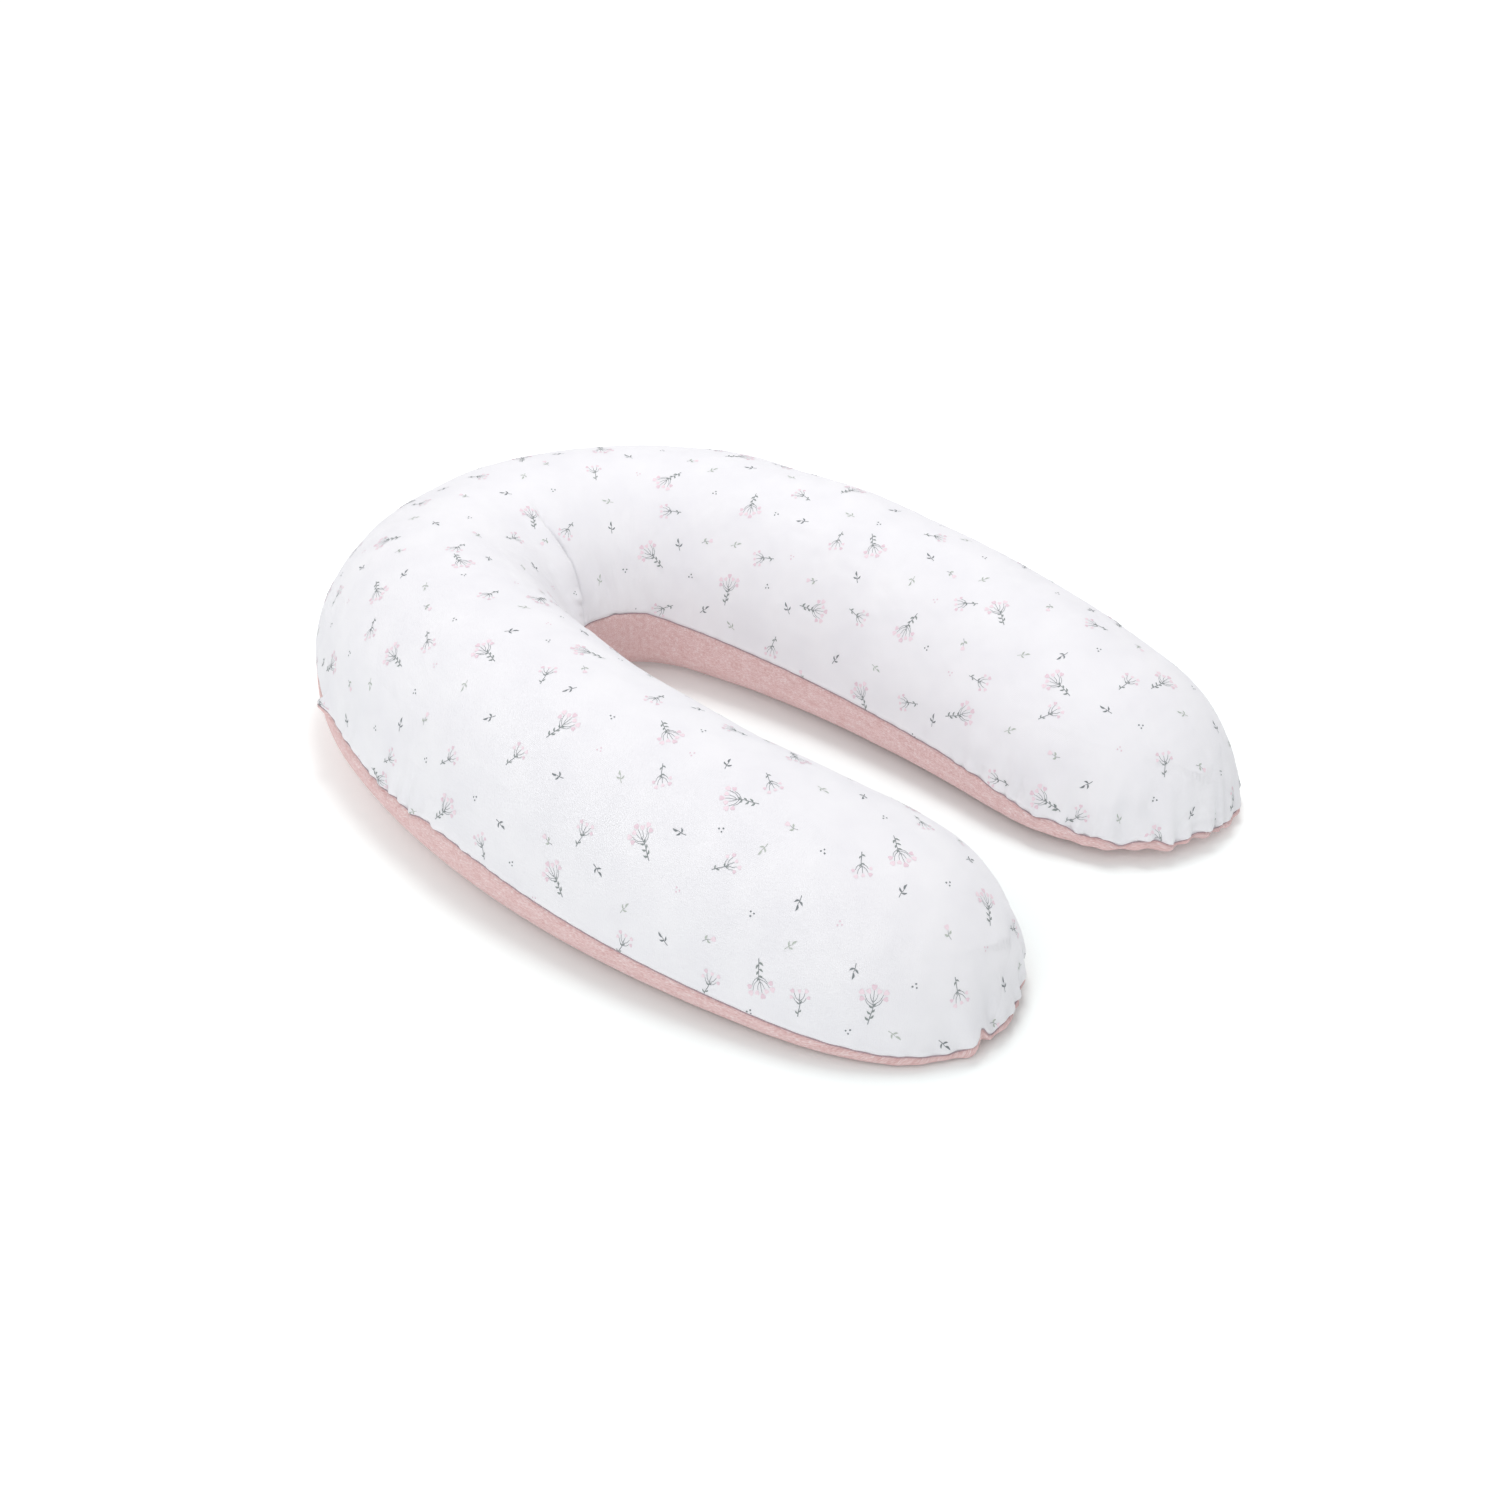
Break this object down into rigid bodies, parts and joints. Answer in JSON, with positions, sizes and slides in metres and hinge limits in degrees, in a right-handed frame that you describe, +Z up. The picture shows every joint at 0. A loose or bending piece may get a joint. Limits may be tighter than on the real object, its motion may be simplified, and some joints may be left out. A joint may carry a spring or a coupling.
{
  "type": "nursing pillow",
  "caption": "C-shaped bead-filled nursing pillow in a removable cover with a printed top, a plain underside and a zip.",
  "frame": {"origin": "bottom centre of the pillow's box, on the surface that its flat underside rests on", "axes": "+Z up, +Y towards the round back of the bend, so the two arms reach towards -Y and the gap between them opens there; +X towards the shorter arm"},
  "size_m": [0.713, 0.9482, 0.2101],
  "materials": {
    "printed_jersey": "matte",
    "melange_jersey": "matte",
    "thread": "matte",
    "zip_tape_pink": "matte",
    "zip_coil_pink": "satin",
    "slider_pink": "satin",
    "label_satin": "satin",
    "casing_cotton": "matte",
    "zip_tape_white": "matte",
    "zip_coil_white": "satin",
    "slider_zinc": "satin",
    "beads": "matte"
  },
  "bodies": {
    "pillow": {"cover_top_panel": "printed_jersey", "cover_base_panel": "melange_jersey", "cover_overlocked_seam": "thread", "cover_zip_tape_upper": "zip_tape_pink", "cover_zip_tape_lower": "zip_tape_pink", "cover_zip_coil_upper": "zip_coil_pink", "cover_zip_coil_lower": "zip_coil_pink", "cover_zip_stop_closed": "slider_pink", "cover_zip_stop_open": "slider_pink", "care_label": "label_satin", "casing_top_panel": "casing_cotton", "casing_base_panel": "casing_cotton", "casing_overlocked_seam": "thread", "casing_zip_tape_upper": "zip_tape_white", "casing_zip_tape_lower": "zip_tape_white", "casing_zip_coil_upper": "zip_coil_white", "casing_zip_coil_lower": "zip_coil_white", "casing_zip_stop_closed": "slider_zinc", "casing_zip_stop_open": "slider_zinc", "bead_filling": "beads"},
    "cover_slider": {"cover_zip_slider": "slider_pink"},
    "cover_pull": {"cover_zip_pull": "slider_pink"},
    "casing_slider": {"casing_zip_slider": "slider_zinc"}
  },
  "joints": [
    {"name": "cover_zip_travel", "type": "hinge", "parent": "pillow", "child": "cover_slider", "pos_m": [-0.00911, 0.14694, 0.095], "axis": [0, 0, 1], "range_deg": [0, 75.7]},
    {"name": "cover_pull_swing", "type": "hinge", "parent": "cover_slider", "child": "cover_pull", "pos_m": [0.1937, 0.40746, 0.095], "axis": [0, 0, -1], "range_deg": [0, 175]},
    {"name": "casing_zip_travel", "type": "hinge", "parent": "pillow", "child": "casing_slider", "pos_m": [-0.00911, 0.14694, 0.095], "axis": [0, 0, 1], "range_deg": [0, 23.1]}
  ]
}
